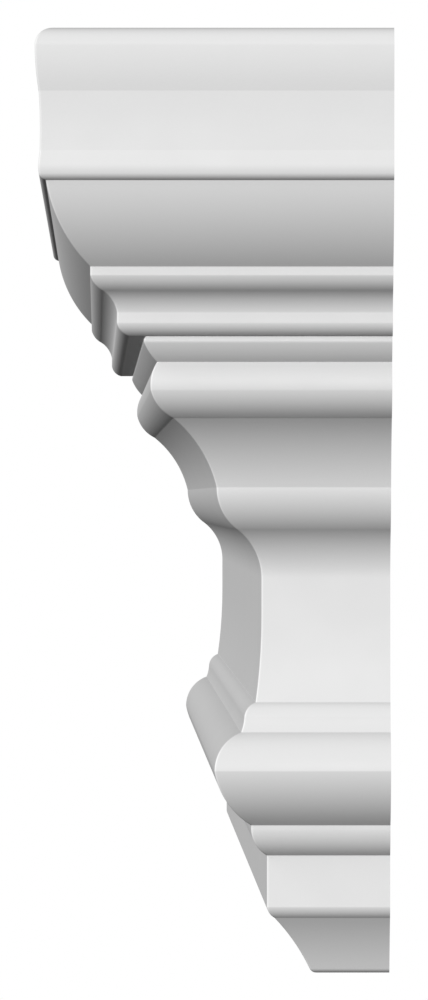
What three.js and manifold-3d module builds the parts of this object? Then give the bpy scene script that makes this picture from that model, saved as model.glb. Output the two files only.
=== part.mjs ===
// A crosshead moulding, the moulded head that stands over the casing of a door or a window.
// It is one solid moulding with a flat back, and its profile returns to the wall at both ends in a mitre.
// Millimetres. X runs along the moulding, -Y faces out of the wall and +Z is up.
// The flat back lies on y = 0, and the origin is the middle of the back.

import * as THREE from 'three';
import { mergeVertices } from 'three/addons/utils/BufferGeometryUtils.js';
import Module from 'manifold-3d';

// Length of the frieze, from one end of the casing to the other
const FRIEZE_LENGTH = 1219.2;

// The profile, from the foot to the crown.
// A rise is a member's height, a reach is how far its head stands out past its foot, and a setback is
// how far its head stands back. A bend is how far a curve turns between its foot and its head.

// Foot: the flat underside and its eased corner
const FOOT_DEPTH = 18;
const FOOT_EASE_RISE = 0.9;
const FOOT_EASE_REACH = 1.4;
const FOOT_EASE_BEND = 52;

// Cove under the base fascia
const FOOT_COVE_RISE = 12.7;
const FOOT_COVE_REACH = 8.7;
const FOOT_COVE_BEND = 18;

// Base fascia: a rounded lower edge, a flat face, an ovolo and a narrow fillet
const BASE_EDGE_RISE = 2.65;
const BASE_EDGE_REACH = 1.9;
const BASE_EDGE_BEND = 50;
const BASE_FASCIA_RISE = 12.6;
const BASE_OVOLO_RISE = 6.35;
const BASE_OVOLO_REACH = 3.9;
const BASE_OVOLO_BEND = 58;
const BASE_FILLET_RISE = 1.05;

// Torus: a long lower round and a short upper one, which meet in a soft crease
const TORUS_LOWER_RISE = 13.25;
const TORUS_REACH = 8.95;
const TORUS_LOWER_BEND = 48;
const TORUS_UPPER_RISE = 9.35;
const TORUS_SETBACK = 6.5;

// Collar over the torus: a small hollow and a round shoulder
const COLLAR_HOLLOW_RISE = 3.75;
const COLLAR_HOLLOW_SETBACK = 0.8;
const COLLAR_HOLLOW_BEND = 18;
const COLLAR_ROUND_RISE = 3.5;
const COLLAR_ROUND_SETBACK = 2.75;
const COLLAR_ROUND_BEND = 63;

// Frieze: a foot that flares out a little, and an upright face
const FLARE_RISE = 20.6;
const FLARE_SETBACK = 1.45;
const FRIEZE_RISE = 9.55;

// Bed mould: a hollow and a round that make an ogee, a large cavetto, and a creased bead under
// a small ovolo with a rounder shoulder
const BED_HOLLOW_RISE = 12;
const BED_HOLLOW_REACH = 6.2;
const BED_ROUND_RISE = 10.1;
const BED_ROUND_REACH = 4.8;
const CAVETTO_RISE = 16.7;
const CAVETTO_REACH = 10.55;
const CAVETTO_BEND = 38;
const BEAD_LOWER_RISE = 6.75;
const BEAD_REACH = 5.45;
const BEAD_LOWER_BEND = 50;
const BEAD_UPPER_RISE = 6.8;
const BEAD_SETBACK = 1.55;
const BEAD_UPPER_BEND = 41;
const BED_OVOLO_RISE = 4.6;
const BED_OVOLO_REACH = 3.12;
const BED_OVOLO_BEND = 24;
const BED_SHOULDER_RISE = 1.6;
const BED_SHOULDER_SETBACK = 0.45;
const BED_SHOULDER_BEND = 74;

// Drip: a flat underside that throws off water, a rounded edge and a fillet
const DRIP_SOFFIT_REACH = 4.13;
const DRIP_EDGE_RISE = 3.15;
const DRIP_EDGE_REACH = 2.9;
const DRIP_EDGE_BEND = 66;
const DRIP_FILLET_RISE = 2.55;

// Crown: a hollow and a round that make a small ogee, a fillet and a large ovolo
const CROWN_HOLLOW_RISE = 5.1;
const CROWN_HOLLOW_REACH = 3.4;
const CROWN_HOLLOW_BEND = 48;
const CROWN_ROUND_RISE = 3.75;
const CROWN_ROUND_REACH = 3.05;
const CROWN_ROUND_BEND = 46;
const CROWN_FILLET_RISE = 2.1;
const CROWN_OVOLO_RISE = 20.6;
const CROWN_OVOLO_REACH = 10.65;
const CROWN_OVOLO_BEND = 36;

// Rolled fascia at the top: a round lip that curls up to a sloping roll, a shallow hollow, a swell and
// a round nose
const FASCIA_LIP_RISE = 1.65;
const FASCIA_LIP_REACH = 1.7;
const FASCIA_LIP_BEND = 73;
const FASCIA_CURL_RISE = 2.3;
const FASCIA_CURL_REACH = 0.1;
const FASCIA_CURL_BEND = 16;
const FASCIA_ROLL_RISE = 3.15;
const FASCIA_ROLL_SETBACK = 0.35;
const FASCIA_HOLLOW_RISE = 14.3;
const FASCIA_HOLLOW_REACH = 0.25;
const FASCIA_HOLLOW_BEND = 6;
const FASCIA_SWELL_RISE = 10.9;
const FASCIA_SWELL_REACH = 0.95;
const FASCIA_NOSE_RADIUS = 4.25;

// Fineness of the curves, in degrees a facet
const FACET_BEND = 5;
const QUARTER_TURN = 90;

// Points of the front's profile, from the foot's front corner up. x is how far a point stands out
// of the wall, and y is its height over the foot. Each member starts where the last one ends.
const profile = [new THREE.Vector2(FOOT_DEPTH, 0)];

function straight(rise, reach) {
  const foot = profile[profile.length - 1];
  profile.push(new THREE.Vector2(foot.x + reach, foot.y + rise));
}

// A circular arc from the last point. A hollow's bend is positive, because its lean out of upright
// grows on the way up, and a round's is negative.
function arc(rise, reach, bend) {
  const foot = profile[profile.length - 1].clone();
  const chord = Math.hypot(rise, reach);
  const lean = Math.atan2(reach, rise);
  const half = THREE.MathUtils.degToRad(bend) / 2;
  const facets = Math.max(1, Math.ceil(Math.abs(bend) / FACET_BEND));
  for (let i = 1; i <= facets; i += 1) {
    const turned = half * i / facets;
    const reached = chord * Math.sin(turned) / Math.sin(half);
    const direction = lean - half + turned;
    profile.push(new THREE.Vector2(
      foot.x + reached * Math.sin(direction),
      foot.y + reached * Math.cos(direction),
    ));
  }
}

// The bend of an arc that is upright at one of its ends
function bendFromUpright(rise, reach) {
  return THREE.MathUtils.radToDeg(2 * Math.atan2(reach, rise));
}

function arcFromUpright(rise, reach) {
  arc(rise, reach, bendFromUpright(rise, reach));
}

function arcToUpright(rise, reach) {
  arc(rise, reach, -bendFromUpright(rise, reach));
}

// Foot and base
arc(FOOT_EASE_RISE, FOOT_EASE_REACH, -FOOT_EASE_BEND);
arc(FOOT_COVE_RISE, FOOT_COVE_REACH, FOOT_COVE_BEND);
arc(BASE_EDGE_RISE, BASE_EDGE_REACH, -BASE_EDGE_BEND);
straight(BASE_FASCIA_RISE, 0);
arc(BASE_OVOLO_RISE, BASE_OVOLO_REACH, -BASE_OVOLO_BEND);
straight(BASE_FILLET_RISE, 0);
arc(TORUS_LOWER_RISE, TORUS_REACH, -TORUS_LOWER_BEND);
arcFromUpright(TORUS_UPPER_RISE, -TORUS_SETBACK);
arc(COLLAR_HOLLOW_RISE, -COLLAR_HOLLOW_SETBACK, COLLAR_HOLLOW_BEND);
arc(COLLAR_ROUND_RISE, -COLLAR_ROUND_SETBACK, -COLLAR_ROUND_BEND);

// Frieze
arcToUpright(FLARE_RISE, -FLARE_SETBACK);
straight(FRIEZE_RISE, 0);
const friezeDepth = profile[profile.length - 1].x;

// Bed mould and drip
arcFromUpright(BED_HOLLOW_RISE, BED_HOLLOW_REACH);
arcToUpright(BED_ROUND_RISE, BED_ROUND_REACH);
arc(CAVETTO_RISE, CAVETTO_REACH, CAVETTO_BEND);
arc(BEAD_LOWER_RISE, BEAD_REACH, -BEAD_LOWER_BEND);
arc(BEAD_UPPER_RISE, -BEAD_SETBACK, -BEAD_UPPER_BEND);
arc(BED_OVOLO_RISE, BED_OVOLO_REACH, -BED_OVOLO_BEND);
arc(BED_SHOULDER_RISE, -BED_SHOULDER_SETBACK, -BED_SHOULDER_BEND);
straight(0, DRIP_SOFFIT_REACH);
arc(DRIP_EDGE_RISE, DRIP_EDGE_REACH, -DRIP_EDGE_BEND);
straight(DRIP_FILLET_RISE, 0);

// Crown and its rolled fascia
arc(CROWN_HOLLOW_RISE, CROWN_HOLLOW_REACH, CROWN_HOLLOW_BEND);
arc(CROWN_ROUND_RISE, CROWN_ROUND_REACH, -CROWN_ROUND_BEND);
straight(CROWN_FILLET_RISE, 0);
arc(CROWN_OVOLO_RISE, CROWN_OVOLO_REACH, -CROWN_OVOLO_BEND);
arc(FASCIA_LIP_RISE, FASCIA_LIP_REACH, -FASCIA_LIP_BEND);
arc(FASCIA_CURL_RISE, FASCIA_CURL_REACH, -FASCIA_CURL_BEND);
straight(FASCIA_ROLL_RISE, -FASCIA_ROLL_SETBACK);
arc(FASCIA_HOLLOW_RISE, FASCIA_HOLLOW_REACH, FASCIA_HOLLOW_BEND);
arcToUpright(FASCIA_SWELL_RISE, FASCIA_SWELL_REACH);
arc(FASCIA_NOSE_RADIUS, -FASCIA_NOSE_RADIUS, -QUARTER_TURN);

// Sizes that follow from the profile
const height = profile[profile.length - 1].y;
const projection = Math.max(...profile.map((point) => point.x));
const overallLength = FRIEZE_LENGTH + 2 * (projection - friezeDepth);

// The run: the profile and the flat back, drawn along the whole length
function runGeometry() {
  const outline = profile.map((point) => new THREE.Vector2(-point.x, point.y - height / 2));
  const back = [new THREE.Vector2(0, height / 2), new THREE.Vector2(0, -height / 2)];
  const shape = new THREE.Shape([...outline, ...back]);
  const geometry = new THREE.ExtrudeGeometry(shape, { depth: 2 * overallLength, bevelEnabled: false });
  geometry.translate(0, 0, -overallLength);
  const alongX = new THREE.Matrix4().makeBasis(
    new THREE.Vector3(0, 1, 0),
    new THREE.Vector3(0, 0, 1),
    new THREE.Vector3(1, 0, 0),
  );
  return geometry.applyMatrix4(alongX);
}

// The returns: the same profile at both ends, drawn out of the wall. Where it meets the run,
// each member turns the corner in a mitre.
function returnsGeometry() {
  const right = profile.map((point) => new THREE.Vector2(
    FRIEZE_LENGTH / 2 + point.x - friezeDepth,
    point.y - height / 2,
  ));
  const left = right.map((point) => new THREE.Vector2(-point.x, point.y)).reverse();
  const shape = new THREE.Shape([...right, ...left]);
  const geometry = new THREE.ExtrudeGeometry(shape, { depth: 4 * projection, bevelEnabled: false });
  geometry.translate(0, 0, -2 * projection);
  const alongY = new THREE.Matrix4().makeBasis(
    new THREE.Vector3(1, 0, 0),
    new THREE.Vector3(0, 0, 1),
    new THREE.Vector3(0, -1, 0),
  );
  return geometry.applyMatrix4(alongY);
}

const wasm = await Module();
wasm.setup();

function solidOf(geometry) {
  const bare = geometry.clone();
  bare.deleteAttribute('normal');
  bare.deleteAttribute('uv');
  const merged = mergeVertices(bare);
  return new wasm.Manifold(new wasm.Mesh({
    numProp: 3,
    vertProperties: new Float32Array(merged.attributes.position.array),
    triVerts: new Uint32Array(merged.index.array),
  }));
}

function geometryOf(solid) {
  const mesh = solid.getMesh();
  const geometry = new THREE.BufferGeometry();
  geometry.setAttribute('position', new THREE.BufferAttribute(mesh.vertProperties, mesh.numProp));
  geometry.setIndex(new THREE.BufferAttribute(mesh.triVerts, 1));
  geometry.computeVertexNormals();
  return geometry;
}

// The moulding, in matt white primer
const primer = new THREE.MeshStandardMaterial({ color: 0xe9e9e9, roughness: 0.6, metalness: 0 });
const moulding = new THREE.Mesh(
  geometryOf(solidOf(runGeometry()).intersect(solidOf(returnsGeometry()))),
  primer,
);
moulding.name = 'crosshead_moulding';

const crosshead = new THREE.Group();
crosshead.name = 'crosshead';
crosshead.add(moulding);

export default crosshead;
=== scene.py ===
import math

import bpy
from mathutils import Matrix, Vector


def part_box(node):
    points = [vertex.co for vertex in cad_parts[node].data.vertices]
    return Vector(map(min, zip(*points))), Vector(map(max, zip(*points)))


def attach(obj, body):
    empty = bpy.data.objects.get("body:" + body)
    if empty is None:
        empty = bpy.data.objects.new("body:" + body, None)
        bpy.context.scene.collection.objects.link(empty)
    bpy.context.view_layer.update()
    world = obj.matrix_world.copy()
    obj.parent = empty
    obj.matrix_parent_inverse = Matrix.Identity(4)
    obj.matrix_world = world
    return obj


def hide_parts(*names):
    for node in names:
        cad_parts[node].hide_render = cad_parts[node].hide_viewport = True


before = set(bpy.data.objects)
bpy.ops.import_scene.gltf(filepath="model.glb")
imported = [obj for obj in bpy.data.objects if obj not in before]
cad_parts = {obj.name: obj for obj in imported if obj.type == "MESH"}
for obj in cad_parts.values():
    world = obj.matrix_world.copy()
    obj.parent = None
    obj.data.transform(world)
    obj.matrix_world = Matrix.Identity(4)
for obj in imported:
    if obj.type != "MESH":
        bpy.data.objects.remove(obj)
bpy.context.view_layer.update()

# The moulding's profile
# A crosshead is one casting of rigid foam, primed white, that is glued and screwed to the wall over a
# door or window. Its mould is cut to this profile, member by member, from the foot to the crown.
MILLIMETRE = 0.001
FOOT_DEPTH = 18
FACET_BEND = 2
FOOT_UPRIGHT = "foot upright"
HEAD_UPRIGHT = "head upright"
QUARTER_ROUND = -90

# The profile's points are in millimetres, out from the wall and up from the foot. The leans are those
# of the members' heads, and the creases are the points where two members meet at an angle.
knife_line = [Vector((FOOT_DEPTH, 0))]
leans = []
creases = []


def member(rise, reach, bend=0):
    """Draws one member on from the last one, as a straight line or a circular arc.

    The rise is its height and the reach is how far its head stands out past its foot, both in
    millimetres. The bend is how far its curve turns in degrees: a hollow's is positive. In its place
    FOOT_UPRIGHT or HEAD_UPRIGHT gives the bend that brings that end upright.
    """
    foot = knife_line[-1].copy()
    chord = math.hypot(rise, reach)
    lean = math.atan2(reach, rise)
    if bend == FOOT_UPRIGHT:
        bend = math.degrees(2 * lean)
    if bend == HEAD_UPRIGHT:
        bend = -math.degrees(2 * lean)
    half = math.radians(bend) / 2
    if leans and abs(lean - half - leans[-1]) > math.radians(FACET_BEND):
        creases.append(len(knife_line) - 1)
    facets = max(1, math.ceil(abs(bend) / FACET_BEND))
    for i in range(1, facets + 1):
        share = i / facets
        reached = chord * math.sin(half * share) / math.sin(half) if half else chord
        direction = lean - half + half * share
        knife_line.append(foot + reached * Vector((math.sin(direction), math.cos(direction))))
    leans.append(lean + half)


# Foot, with its cove
member(rise=0.9, reach=1.4, bend=-52)
member(rise=12.7, reach=8.7, bend=18)
# Base fascia: rounded lower edge, face, ovolo and fillet
member(rise=2.65, reach=1.9, bend=-50)
member(rise=12.6, reach=0)
member(rise=6.35, reach=3.9, bend=-58)
member(rise=1.05, reach=0)
# Torus: two rounds that meet in a soft crease
member(rise=13.25, reach=8.95, bend=-48)
member(rise=9.35, reach=-6.5, bend=FOOT_UPRIGHT)
# Collar: a hollow and a round shoulder
member(rise=3.75, reach=-0.8, bend=18)
member(rise=3.5, reach=-2.75, bend=-63)
# Frieze, with its flared foot
member(rise=20.6, reach=-1.45, bend=HEAD_UPRIGHT)
member(rise=9.55, reach=0)
# Bed mould: ogee, cavetto, creased bead, and small ovolo with its shoulder
member(rise=12, reach=6.2, bend=FOOT_UPRIGHT)
member(rise=10.1, reach=4.8, bend=HEAD_UPRIGHT)
member(rise=16.7, reach=10.55, bend=38)
member(rise=6.75, reach=5.45, bend=-50)
member(rise=6.8, reach=-1.55, bend=-41)
member(rise=4.6, reach=3.12, bend=-24)
member(rise=1.6, reach=-0.45, bend=-74)
# Drip: flat underside, rounded edge and fillet
member(rise=0, reach=4.13)
member(rise=3.15, reach=2.9, bend=-66)
member(rise=2.55, reach=0)
# Crown: small ogee, fillet and large ovolo
member(rise=5.1, reach=3.4, bend=48)
member(rise=3.75, reach=3.05, bend=-46)
member(rise=2.1, reach=0)
member(rise=20.6, reach=10.65, bend=-36)
# Rolled fascia: lip of two rounds, roll, shallow hollow, swell and round nose
member(rise=1.65, reach=1.7, bend=-73)
member(rise=2.3, reach=0.1, bend=-16)
member(rise=3.15, reach=-0.35)
member(rise=14.3, reach=0.25, bend=6)
member(rise=10.9, reach=0.95, bend=HEAD_UPRIGHT)
member(rise=4.25, reach=-4.25, bend=QUARTER_ROUND)

# The mould's creases are eased by the cutter and filled a little by the primer, so each one is
# drawn as a small curve, with a plain point close to both its ends.
CREASE_EASE = 0.12
CREASE_HOLD = 1.5 * CREASE_EASE
CREASE_STEPS = 5


def eased(line, corners):
    """The line with a small curve in the place of each corner."""
    run = [0.0]
    for before, after in zip(line, line[1:]):
        run.append(run[-1] + (after - before).length)

    def point_at(distance):
        i = max(k for k in range(len(run) - 1) if run[k] <= distance)
        share = (distance - run[i]) / (run[i + 1] - run[i])
        return line[i].lerp(line[i + 1], share)

    kept = []
    for distance, point in zip(run, line):
        if all(abs(distance - run[i]) > CREASE_HOLD for i in corners):
            kept.append((distance, point))
    for i in corners:
        spot, corner = run[i], line[i]
        start, end = point_at(spot - CREASE_EASE), point_at(spot + CREASE_EASE)
        kept.append((spot - CREASE_HOLD, point_at(spot - CREASE_HOLD)))
        kept.append((spot + CREASE_HOLD, point_at(spot + CREASE_HOLD)))
        for step in range(CREASE_STEPS + 1):
            share = step / CREASE_STEPS
            curve = start.lerp(corner, share).lerp(corner.lerp(end, share), share)
            kept.append((spot + CREASE_EASE * (2 * share - 1), curve))
    return [point for _, point in sorted(kept, key=lambda pair: pair[0])]


knife_line = eased(knife_line, creases)
lowest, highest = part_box("crosshead_moulding")
knife = bpy.data.meshes.new("profile_knife")
knife.from_pydata(
    [(0, -p.x * MILLIMETRE, lowest.z + p.y * MILLIMETRE) for p in knife_line],
    [(i, i + 1) for i in range(len(knife_line) - 1)],
    [],
)

# The moulding's finish
# Factory primer, sprayed white over the moulded skin: matt, very even, with a fine spray texture
# and a trace of tone and sheen that drifts along the length.
PRIMER_PALE = (0.80, 0.80, 0.80, 1)
PRIMER_DEEP = (0.775, 0.775, 0.775, 1)
DRIFT_PER_METRE = 14
SHEEN_PER_METRE = 90
SMOOTHEST = 0.46
ROUGHEST = 0.56
SPRAY_PER_METRE = 750
SPRAY_DEPTH = 0.02 * MILLIMETRE
SPRAY_STRENGTH = 0.35


def add_node(tree, kind, inputs=None, **settings):
    """A node with its settings, and each input set to a value or linked from a socket."""
    node = tree.nodes.new(kind)
    for name, value in settings.items():
        setattr(node, name, value)
    for name, value in (inputs or {}).items():
        if isinstance(value, bpy.types.NodeSocket):
            tree.links.new(value, node.inputs[name])
        else:
            node.inputs[name].default_value = value
    return node


def new_material(name):
    """A plain node material, with its tree and its shader."""
    material = bpy.data.materials.new(name)
    material.use_nodes = True
    tree = material.node_tree
    return material, tree, tree.nodes["Principled BSDF"]


def noise(tree, place, per_metre, detail, roughness=0.5):
    """A noise pattern of so many spots a metre, as a number between 0 and 1."""
    inputs = {"Vector": place, "Scale": per_metre, "Detail": detail, "Roughness": roughness}
    return add_node(tree, "ShaderNodeTexNoise", inputs).outputs["Fac"]


def between(tree, factor, deep, pale):
    """A colour that goes from deep to pale with the factor."""
    inputs = {"Factor": factor, "A": deep, "B": pale}
    return add_node(tree, "ShaderNodeMix", inputs, data_type="RGBA").outputs["Result"]


primer, tree, shader = new_material("white_primer")
place = add_node(tree, "ShaderNodeTexCoord").outputs["Object"]
drift = noise(tree, place, DRIFT_PER_METRE, detail=3)
tone = between(tree, drift, PRIMER_DEEP, PRIMER_PALE)
sheen = noise(tree, place, SHEEN_PER_METRE, detail=2)
rough = add_node(
    tree, "ShaderNodeMapRange", {"Value": sheen, "To Min": SMOOTHEST, "To Max": ROUGHEST}
)
spray = noise(tree, place, SPRAY_PER_METRE, detail=4, roughness=0.6)
bump = add_node(
    tree, "ShaderNodeBump", {"Height": spray, "Distance": SPRAY_DEPTH, "Strength": SPRAY_STRENGTH}
)
tree.links.new(tone, shader.inputs["Base Color"])
tree.links.new(rough.outputs["Result"], shader.inputs["Roughness"])
tree.links.new(bump.outputs["Normal"], shader.inputs["Normal"])

# The moulding itself
# One solid casting with a flat back. The profile goes out from the wall along each end's return,
# turns the corner in a mitre, and runs along the front. The corner's arris is very slightly rounded.
ARRIS_RADIUS = 0.4 * MILLIMETRE
ARRIS_HOLD = 0.2 * MILLIMETRE
ARRIS_FACETS = 6
SHARP_ANGLE = math.radians(30)
WALL_STATION = 0
FIRST_ARRIS_STATION = 2

sweep_sizes = {
    "Half Length At Wall": highest.x + lowest.y,
    "Arris Radius": ARRIS_RADIUS,
    "Arris Hold": ARRIS_HOLD,
    "Arris Facets": ARRIS_FACETS,
}
sweep = bpy.data.node_groups.new("mitred_sweep", "GeometryNodeTree")
sweep.interface.new_socket("Profile", in_out="INPUT", socket_type="NodeSocketGeometry")
for name, size in sweep_sizes.items():
    kind = "NodeSocketInt" if isinstance(size, int) else "NodeSocketFloat"
    sweep.interface.new_socket(name, in_out="INPUT", socket_type=kind)
sweep.interface.new_socket("Moulding", in_out="OUTPUT", socket_type="NodeSocketGeometry")
given = sweep.nodes.new("NodeGroupInput").outputs


def calc(operation, a, b=0):
    """A sum of the sweep's tree, as the socket of its result."""
    node = sweep.nodes.new("ShaderNodeMath")
    node.operation = operation
    for socket, value in zip(node.inputs, (a, b)):
        if isinstance(value, bpy.types.NodeSocket):
            sweep.links.new(value, socket)
        else:
            socket.default_value = value
    return node.outputs[0]


# A ring of stations goes round the plan at each point of the profile, from the left wall to the
# right wall. Each half has the wall, a hold, the ends of the arris's facets and a hold, where a
# hold is a plain line close beside the arris.
last_arris_station = calc("ADD", given["Arris Facets"], FIRST_ARRIS_STATION)
middle_hold_station = calc("ADD", last_arris_station, 1)
half_ring = calc("ADD", middle_hold_station, 1)
ring = calc("MULTIPLY", half_ring, 2)

# The tube's points are numbered ring by ring, from the profile's last point down to its first.
profile_points = add_node(
    sweep, "GeometryNodeAttributeDomainSize", {"Geometry": given["Profile"]}, component="MESH"
).outputs["Point Count"]
last_point = calc("SUBTRACT", profile_points, 1)
tube = add_node(
    sweep,
    "GeometryNodeMeshCylinder",
    {"Vertices": ring, "Side Segments": last_point},
    fill_type="NGON",
)
index = add_node(sweep, "GeometryNodeInputIndex").outputs[0]
station = calc("MODULO", index, ring)
point_number = calc("SUBTRACT", last_point, calc("FLOOR", calc("DIVIDE", index, ring)))
profile_place = add_node(sweep, "GeometryNodeInputPosition").outputs[0]
sampled = add_node(
    sweep,
    "GeometryNodeSampleIndex",
    {"Geometry": given["Profile"], "Value": profile_place, "Index": point_number},
    data_type="FLOAT_VECTOR",
)
split = add_node(sweep, "ShaderNodeSeparateXYZ", {"Vector": sampled.outputs["Value"]}).outputs
projection = calc("MULTIPLY", split["Y"], -1)

# On the plan, a point stands off the corner by the arris's curve or by a hold.
on_left = calc("LESS_THAN", station, half_ring)
side = calc("SUBTRACT", 1, calc("MULTIPLY", on_left, 2))
from_wall = calc("MINIMUM", station, calc("SUBTRACT", calc("SUBTRACT", ring, 1), station))
turn = add_node(
    sweep,
    "ShaderNodeMapRange",
    {
        "Value": from_wall,
        "From Min": FIRST_ARRIS_STATION,
        "From Max": last_arris_station,
        "To Max": math.pi / 2,
    },
).outputs["Result"]
radius = given["Arris Radius"]
hold = given["Arris Hold"]
eased_x = calc("MULTIPLY", radius, calc("SUBTRACT", 1, calc("COSINE", turn)))
eased_y = calc("MULTIPLY", radius, calc("SUBTRACT", 1, calc("SINE", turn)))
held_x = calc("MULTIPLY", hold, calc("GREATER_THAN", from_wall, last_arris_station))
held_y = calc("MULTIPLY", hold, calc("LESS_THAN", from_wall, FIRST_ARRIS_STATION))
corner_x = calc("ADD", given["Half Length At Wall"], projection)
plan_x = calc("SUBTRACT", calc("SUBTRACT", corner_x, eased_x), held_x)
plan_y = calc("ADD", calc("SUBTRACT", eased_y, projection), held_y)
off_wall = calc("GREATER_THAN", from_wall, WALL_STATION)
placed = add_node(
    sweep,
    "ShaderNodeCombineXYZ",
    {"X": calc("MULTIPLY", side, plan_x), "Y": calc("MULTIPLY", off_wall, plan_y), "Z": split["Z"]},
)
shaped = add_node(
    sweep,
    "GeometryNodeSetPosition",
    {"Geometry": tube.outputs["Mesh"], "Position": placed.outputs[0]},
)

# Faces are shaded smooth, and edges that turn by more than the sharp angle, such as the back's, crisp.
smooth = add_node(
    sweep,
    "GeometryNodeSetShadeSmooth",
    {"Geometry": shaped.outputs[0], "Shade Smooth": True},
    domain="FACE",
)
angle = add_node(sweep, "GeometryNodeInputMeshEdgeAngle").outputs["Unsigned Angle"]
crisp = add_node(
    sweep,
    "GeometryNodeSetShadeSmooth",
    {
        "Geometry": smooth.outputs[0],
        "Selection": calc("GREATER_THAN", angle, SHARP_ANGLE),
        "Shade Smooth": False,
    },
    domain="EDGE",
)
whole = add_node(sweep, "GeometryNodeRealizeInstances", {"Geometry": crisp.outputs[0]})
finished = add_node(
    sweep, "GeometryNodeSetMaterial", {"Geometry": whole.outputs[0], "Material": primer}
)
taken = sweep.nodes.new("NodeGroupOutput")
sweep.links.new(finished.outputs[0], taken.inputs["Moulding"])

pattern = bpy.data.objects.new("sweep_pattern", knife)
bpy.context.scene.collection.objects.link(pattern)
modifier = pattern.modifiers.new("sweep", "NODES")
modifier.node_group = sweep
for socket in sweep.interface.items_tree:
    if socket.name in sweep_sizes:
        modifier[socket.identifier] = sweep_sizes[socket.name]

depsgraph = bpy.context.evaluated_depsgraph_get()
cast = bpy.data.meshes.new_from_object(pattern.evaluated_get(depsgraph))
pattern.modifiers.clear()
bpy.data.objects.remove(pattern)
moulding = bpy.data.objects.new("primed_crosshead", cast)
bpy.context.scene.collection.objects.link(moulding)
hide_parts("crosshead_moulding")
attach(moulding, "root")
# The photograph shows no light thrown from one member onto the next.
moulding.visible_diffuse = False

# The studio
# A plain pale floor lies well under the moulding, which hangs free, in a white room with soft light.
# It glows a little, so that it looks nearly as pale as the room, and lights nothing else.
FLOOR_HEIGHT = -0.40
FLOOR_HALF = 6
FLOOR_PALE = (0.82, 0.82, 0.82, 1)
FLOOR_DEEP = (0.78, 0.78, 0.78, 1)
MOTTLE_PER_METRE = 6
FLOOR_ROUGHNESS = 0.8
FLOOR_GLOW = 0.4

floor_mesh = bpy.data.meshes.new("floor")
floor_mesh.from_pydata(
    [
        (-FLOOR_HALF, -FLOOR_HALF, FLOOR_HEIGHT),
        (FLOOR_HALF, -FLOOR_HALF, FLOOR_HEIGHT),
        (FLOOR_HALF, FLOOR_HALF, FLOOR_HEIGHT),
        (-FLOOR_HALF, FLOOR_HALF, FLOOR_HEIGHT),
    ],
    [],
    [(0, 1, 2, 3)],
)
floor = bpy.data.objects.new("floor", floor_mesh)
bpy.context.scene.collection.objects.link(floor)
paving, tree, shader = new_material("pale_floor")
place = add_node(tree, "ShaderNodeTexCoord").outputs["Object"]
mottle = noise(tree, place, MOTTLE_PER_METRE, detail=4)
tone = between(tree, mottle, FLOOR_DEEP, FLOOR_PALE)
tree.links.new(tone, shader.inputs["Base Color"])
tree.links.new(tone, shader.inputs["Emission Color"])
shader.inputs["Roughness"].default_value = FLOOR_ROUGHNESS
shader.inputs["Emission Strength"].default_value = FLOOR_GLOW
floor.data.materials.append(paving)
floor.visible_diffuse = False
floor.visible_glossy = False

# The room is white to the camera, and gives the moulding a faint even light.
ROOM_WHITE = (1, 1, 1, 1)
ROOM_SEEN = 1.0
ROOM_LIGHT = 0.05
world = bpy.data.worlds.new("white_room")
bpy.context.scene.world = world
world.use_nodes = True
tree = world.node_tree
tree.nodes.clear()
seen = add_node(tree, "ShaderNodeLightPath").outputs["Is Camera Ray"]
lit = add_node(tree, "ShaderNodeBackground", {"Color": ROOM_WHITE, "Strength": ROOM_LIGHT})
white = add_node(tree, "ShaderNodeBackground", {"Color": ROOM_WHITE, "Strength": ROOM_SEEN})
room = tree.nodes.new("ShaderNodeMixShader")
tree.links.new(seen, room.inputs[0])
tree.links.new(lit.outputs[0], room.inputs[1])
tree.links.new(white.outputs[0], room.inputs[2])
sky = tree.nodes.new("ShaderNodeOutputWorld")
tree.links.new(room.outputs[0], sky.inputs["Surface"])


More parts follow.
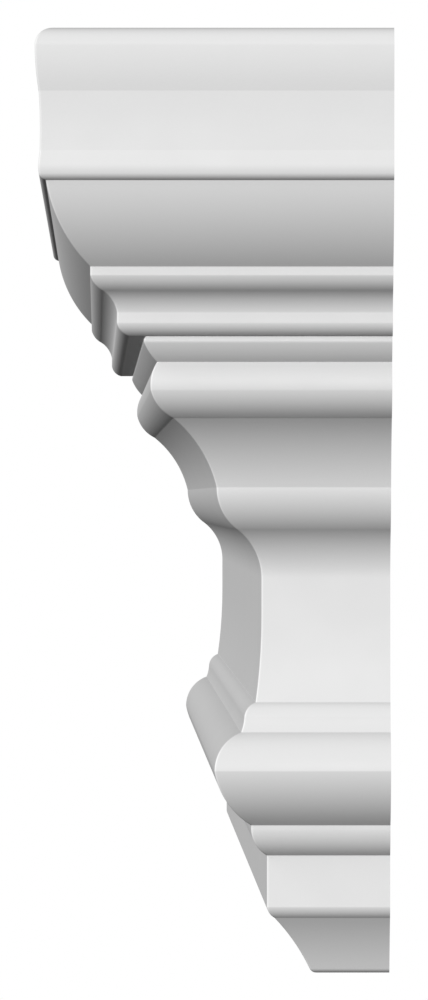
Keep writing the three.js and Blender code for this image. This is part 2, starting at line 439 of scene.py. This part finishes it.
def softbox(name, azimuth, elevation, strength, spread, shadow):
    """A broad soft light from far off, with its angles in degrees.

    Azimuth 0 is in front of the moulding and 90 off its right end.
    """
    lamp = bpy.data.lights.new(name, "SUN")
    lamp.energy = strength
    lamp.angle = math.radians(spread)
    lamp.use_shadow = shadow
    light = bpy.data.objects.new(name, lamp)
    bpy.context.scene.collection.objects.link(light)
    a, e = math.radians(azimuth), math.radians(elevation)
    away = Vector((math.sin(a) * math.cos(e), -math.cos(a) * math.cos(e), math.sin(e)))
    light.rotation_mode = "QUATERNION"
    light.rotation_quaternion = away.to_track_quat("Z", "Y")


# The photograph shows almost no shadow of one member on the next, so two of the lights cast none.
softbox("end_light", azimuth=90, elevation=8, strength=1.615, spread=10, shadow=False)
softbox("front_light", azimuth=30, elevation=22, strength=1.955, spread=10, shadow=False)
softbox("high_light", azimuth=30, elevation=40, strength=0.645, spread=25, shadow=True)
softbox("back_light", azimuth=225, elevation=0, strength=2.8, spread=10, shadow=True)

# The camera
# It looks along the moulding's length at its right end, from about four metres, through a long lens.
# A pixel is a pixel of the photograph, which is 1000 high, at the near end's plane.
PIXEL = 0.2397 * MILLIMETRE
EYE_PIXEL = Vector((96.8, 498))
CENTRE_PIXEL = Vector((214, 500))
WALL_PIXEL = 394.48
TOP_PIXEL = 27.24
EYE_DISTANCE_PIXELS = 16160
FRAME_HEIGHT_PIXELS = 1000
SENSOR = 36
NEAREST_SEEN = 0.1
FARTHEST_SEEN = 100


def on_end_plane(pixel):
    """The place on the near end's plane that a pixel of the photograph shows."""
    across = (pixel.x - WALL_PIXEL) * PIXEL
    up = highest.z - (pixel.y - TOP_PIXEL) * PIXEL
    return Vector((highest.x, across, up))


lens = bpy.data.cameras.new("camera")
camera = bpy.data.objects.new("camera", lens)
bpy.context.scene.collection.objects.link(camera)
bpy.context.scene.camera = camera
distance = EYE_DISTANCE_PIXELS * PIXEL
camera.location = on_end_plane(EYE_PIXEL) + Vector((distance, 0, 0))
aim = on_end_plane(CENTRE_PIXEL)
camera.rotation_mode = "QUATERNION"
camera.rotation_quaternion = (aim - camera.location).to_track_quat("-Z", "Y")
lens.sensor_width = SENSOR
lens.lens = SENSOR * EYE_DISTANCE_PIXELS / FRAME_HEIGHT_PIXELS
lens.clip_start = NEAREST_SEEN
lens.clip_end = FARTHEST_SEEN
bpy.context.scene.view_settings.view_transform = "Standard"
